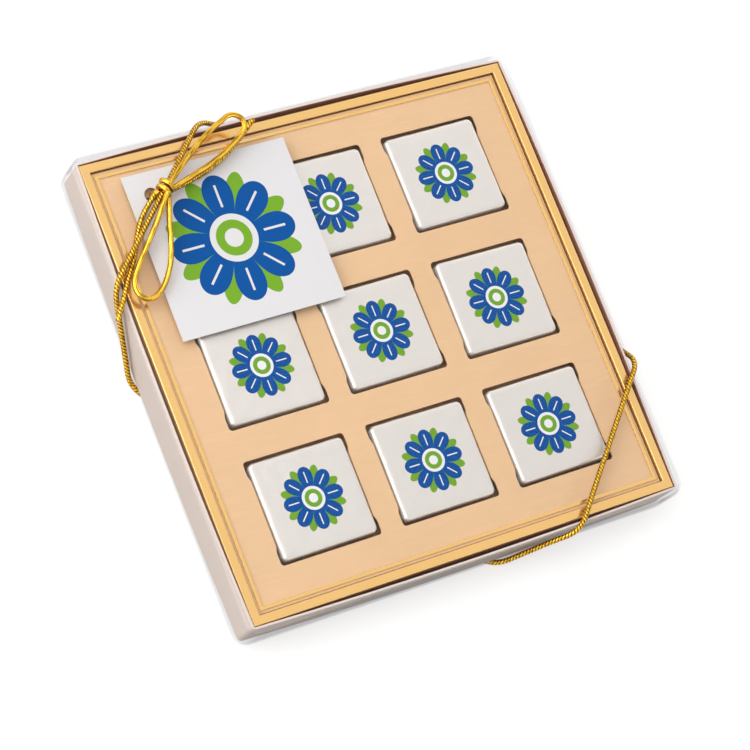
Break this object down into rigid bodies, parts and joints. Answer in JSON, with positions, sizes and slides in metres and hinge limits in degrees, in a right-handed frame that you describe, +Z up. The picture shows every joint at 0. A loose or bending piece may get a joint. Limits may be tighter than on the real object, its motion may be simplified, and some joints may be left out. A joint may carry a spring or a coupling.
{
  "type": "chocolate box",
  "caption": "Flat square gift box of foil-wrapped chocolate squares in card pockets, with a clear lift-off lid, a gold elastic bow and a card tag.",
  "frame": {"origin": "under the middle of the box, on the surface that it stands on", "axes": "+Z up out of the lid; +X along the side away from the tied corner's left wall; the bow is over the corner at -X, +Y"},
  "size_m": [0.1706, 0.1682, 0.0264],
  "materials": {
    "pale_board": "board wrapped in satin ivory paper",
    "gold_card": "card laminated with satin gold film",
    "tan_card": "matte tan card with a stamped gold border",
    "grey_board": "raw grey card",
    "clear_plastic": "clear thermoformed sheet",
    "white_card": "coated white card, printed",
    "gold_cord": "braided metallic elastic cord",
    "chocolate": "milk chocolate, matte",
    "foil": "thin satin foil, printed on top"
  },
  "bodies": {
    "base": {"base_tray": "pale_board", "gold_frame": "gold_card", "pocket_insert": "tan_card", "riser_deck": "grey_board", "elastic_under_left": "gold_cord", "elastic_under_right": "gold_cord", "elastic_top_left": "gold_cord", "elastic_top_right": "gold_cord"},
    "lid": {"clear_lid": "clear_plastic", "bow_knot": "gold_cord", "bow_loop_upper": "gold_cord", "bow_loop_lower": "gold_cord", "bow_tail_upper": "gold_cord", "bow_tail_lower": "gold_cord", "tag_tie": "gold_cord"},
    "tag": {"gift_tag": "white_card"},
    "square_1": {"chocolate_1": "chocolate", "foil_wrap_1": "foil"},
    "square_2": {"chocolate_2": "chocolate", "foil_wrap_2": "foil"},
    "square_3": {"chocolate_3": "chocolate", "foil_wrap_3": "foil"},
    "square_4": {"chocolate_4": "chocolate", "foil_wrap_4": "foil"},
    "square_5": {"chocolate_5": "chocolate", "foil_wrap_5": "foil"},
    "square_6": {"chocolate_6": "chocolate", "foil_wrap_6": "foil"},
    "square_7": {"chocolate_7": "chocolate", "foil_wrap_7": "foil"},
    "square_8": {"chocolate_8": "chocolate", "foil_wrap_8": "foil"},
    "square_9": {"chocolate_9": "chocolate", "foil_wrap_9": "foil"}
  },
  "joints": [
    {"name": "lid_lift", "type": "slide", "parent": "base", "child": "lid", "axis": [0, 0, 1], "range_m": [0, 0.06], "deforming": ["elastic_top_left", "elastic_top_right"]},
    {"name": "tag_swivel", "type": "hinge", "parent": "lid", "child": "tag", "pos_m": [-0.0595, 0.0632, 0.0181], "axis": [0, 0, 1], "range_deg": [0, 15]},
    {"name": "square_1_lift", "type": "slide", "parent": "base", "child": "square_1", "axis": [0, 0, 1], "range_m": [0, 0.03]},
    {"name": "square_2_lift", "type": "slide", "parent": "base", "child": "square_2", "axis": [0, 0, 1], "range_m": [0, 0.03]},
    {"name": "square_3_lift", "type": "slide", "parent": "base", "child": "square_3", "axis": [0, 0, 1], "range_m": [0, 0.03]},
    {"name": "square_4_lift", "type": "slide", "parent": "base", "child": "square_4", "axis": [0, 0, 1], "range_m": [0, 0.03]},
    {"name": "square_5_lift", "type": "slide", "parent": "base", "child": "square_5", "axis": [0, 0, 1], "range_m": [0, 0.03]},
    {"name": "square_6_lift", "type": "slide", "parent": "base", "child": "square_6", "axis": [0, 0, 1], "range_m": [0, 0.03]},
    {"name": "square_7_lift", "type": "slide", "parent": "base", "child": "square_7", "axis": [0, 0, 1], "range_m": [0, 0.03]},
    {"name": "square_8_lift", "type": "slide", "parent": "base", "child": "square_8", "axis": [0, 0, 1], "range_m": [0, 0.03]},
    {"name": "square_9_lift", "type": "slide", "parent": "base", "child": "square_9", "axis": [0, 0, 1], "range_m": [0, 0.03]}
  ],
  "couplings": [
    {"joint": "square_1_lift", "follows": "lid_lift", "ratio": 0.5},
    {"joint": "square_2_lift", "follows": "lid_lift", "ratio": 0.5},
    {"joint": "square_3_lift", "follows": "lid_lift", "ratio": 0.5},
    {"joint": "square_4_lift", "follows": "lid_lift", "ratio": 0.5},
    {"joint": "square_5_lift", "follows": "lid_lift", "ratio": 0.5},
    {"joint": "square_6_lift", "follows": "lid_lift", "ratio": 0.5},
    {"joint": "square_7_lift", "follows": "lid_lift", "ratio": 0.5},
    {"joint": "square_8_lift", "follows": "lid_lift", "ratio": 0.5},
    {"joint": "square_9_lift", "follows": "lid_lift", "ratio": 0.5}
  ]
}
